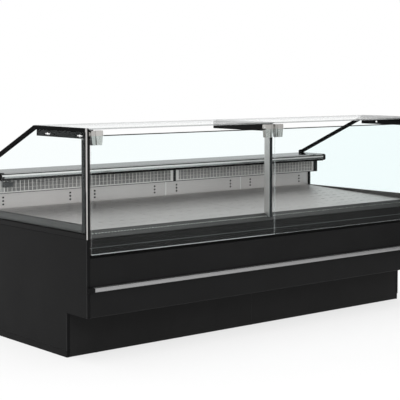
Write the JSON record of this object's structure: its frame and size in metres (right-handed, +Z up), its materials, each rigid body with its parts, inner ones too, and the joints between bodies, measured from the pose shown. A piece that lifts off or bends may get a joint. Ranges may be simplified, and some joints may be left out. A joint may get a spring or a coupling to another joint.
{
  "type": "refrigerated fish counter",
  "caption": "Long glazed serve-over fish counter with lift-up front panes, a sloping perforated display deck, a rear worktop and a recessed plinth.",
  "frame": {"origin": "on the floor, in the middle of the overall length and depth", "axes": "+X along the counter to the customer's right, -Y towards the customer, +Z up"},
  "size_m": [2.54, 1.103, 1.18],
  "materials": {
    "black_panel": "satin",
    "black_sheet": "satin",
    "black_trim": "satin",
    "black_metal": "satin",
    "stainless": "satin",
    "anodised": "satin",
    "bright_trim": "polished",
    "glass": "gloss",
    "galvanised": "satin",
    "insulation": "matte",
    "copper": "satin",
    "fin": "satin",
    "plastic_grey": "matte",
    "plastic_black": "gloss",
    "switch_green": "gloss",
    "motor": "matte"
  },
  "bodies": {
    "cabinet": {"base_frame": "galvanised", "levelling_feet": "plastic_grey", "end_feet": "black_trim", "plinth_left": "black_sheet", "plinth_right": "black_sheet", "end_panel_left": "black_panel", "end_panel_right": "black_panel", "lower_front_panel": "black_sheet", "upper_front_panel": "black_sheet", "bumper_rail": "anodised", "bumper_caps": "black_trim", "fascia": "black_sheet", "tub_floor": "insulation", "tub_walls": "insulation", "tub_ends": "insulation", "front_ledge": "stainless", "deck_bearers": "anodised", "wall_panels": "stainless", "outlet_carrier": "black_metal", "grille_left": "stainless", "grille_right": "stainless", "thermometer": "plastic_black", "worktop": "stainless", "worktop_caps": "black_trim", "rear_panel": "black_sheet", "service_panels": "black_sheet", "controller": "plastic_black", "main_switch": "plastic_black", "terminal_box": "plastic_grey", "evaporator_fins": "fin", "evaporator_coil": "copper", "refrigerant_lines": "copper", "fan_plate": "galvanised", "fan_motors": "motor", "drain_outlet": "plastic_grey", "glass_channels": "black_metal", "corner_profiles": "anodised", "end_glass_left": "glass", "end_glass_right": "glass", "end_rails": "black_metal", "end_posts": "black_metal", "top_brackets": "black_metal", "bracket_bolts": "bright_trim", "middle_post": "anodised", "middle_arm": "black_metal", "top_glass": "glass", "hinge_blocks": "bright_trim", "hinge_pins": "bright_trim"},
    "front_pane_left": {"front_pane_left": "glass", "pane_clamps_left": "bright_trim"},
    "front_pane_right": {"front_pane_right": "glass", "pane_clamps_right": "bright_trim"},
    "fan_rotor_left": {"fan_rotor_left": "plastic_grey"},
    "fan_rotor_middle": {"fan_rotor_middle": "plastic_grey"},
    "fan_rotor_right": {"fan_rotor_right": "plastic_grey"},
    "main_switch_rocker": {"main_switch_rocker": "switch_green"},
    "deck_plate_1": {"deck_plate_1": "stainless"},
    "deck_plate_2": {"deck_plate_2": "stainless"},
    "deck_plate_3": {"deck_plate_3": "stainless"},
    "deck_plate_4": {"deck_plate_4": "stainless"}
  },
  "joints": [
    {"name": "front_pane_left_lift", "type": "hinge", "parent": "cabinet", "child": "front_pane_left", "pos_m": [-0.6235, -0.5195, 1.15], "axis": [-1, 0, 0], "range_deg": [0, 85]},
    {"name": "front_pane_right_lift", "type": "hinge", "parent": "cabinet", "child": "front_pane_right", "pos_m": [0.6235, -0.5195, 1.15], "axis": [-1, 0, 0], "range_deg": [0, 85]},
    {"name": "fan_left_spin", "type": "hinge", "parent": "cabinet", "child": "fan_rotor_left", "pos_m": [-0.76, 0.0535, 0.521], "axis": [0, 1, 0], "continuous": true},
    {"name": "fan_middle_spin", "type": "hinge", "parent": "cabinet", "child": "fan_rotor_middle", "pos_m": [0, 0.0535, 0.521], "axis": [0, 1, 0], "continuous": true},
    {"name": "fan_right_spin", "type": "hinge", "parent": "cabinet", "child": "fan_rotor_right", "pos_m": [0.76, 0.0535, 0.521], "axis": [0, 1, 0], "continuous": true},
    {"name": "main_switch_tilt", "type": "hinge", "parent": "cabinet", "child": "main_switch_rocker", "pos_m": [0.9, 0.5459, 0.315], "axis": [1, 0, 0], "range_deg": [-6, 6]},
    {"name": "deck_plate_1_lift", "type": "slide", "parent": "cabinet", "child": "deck_plate_1", "axis": [0, 0, 1], "range_m": [0, 0.085]},
    {"name": "deck_plate_2_lift", "type": "slide", "parent": "cabinet", "child": "deck_plate_2", "axis": [0, 0, 1], "range_m": [0, 0.085]},
    {"name": "deck_plate_3_lift", "type": "slide", "parent": "cabinet", "child": "deck_plate_3", "axis": [0, 0, 1], "range_m": [0, 0.085]},
    {"name": "deck_plate_4_lift", "type": "slide", "parent": "cabinet", "child": "deck_plate_4", "axis": [0, 0, 1], "range_m": [0, 0.085]}
  ]
}
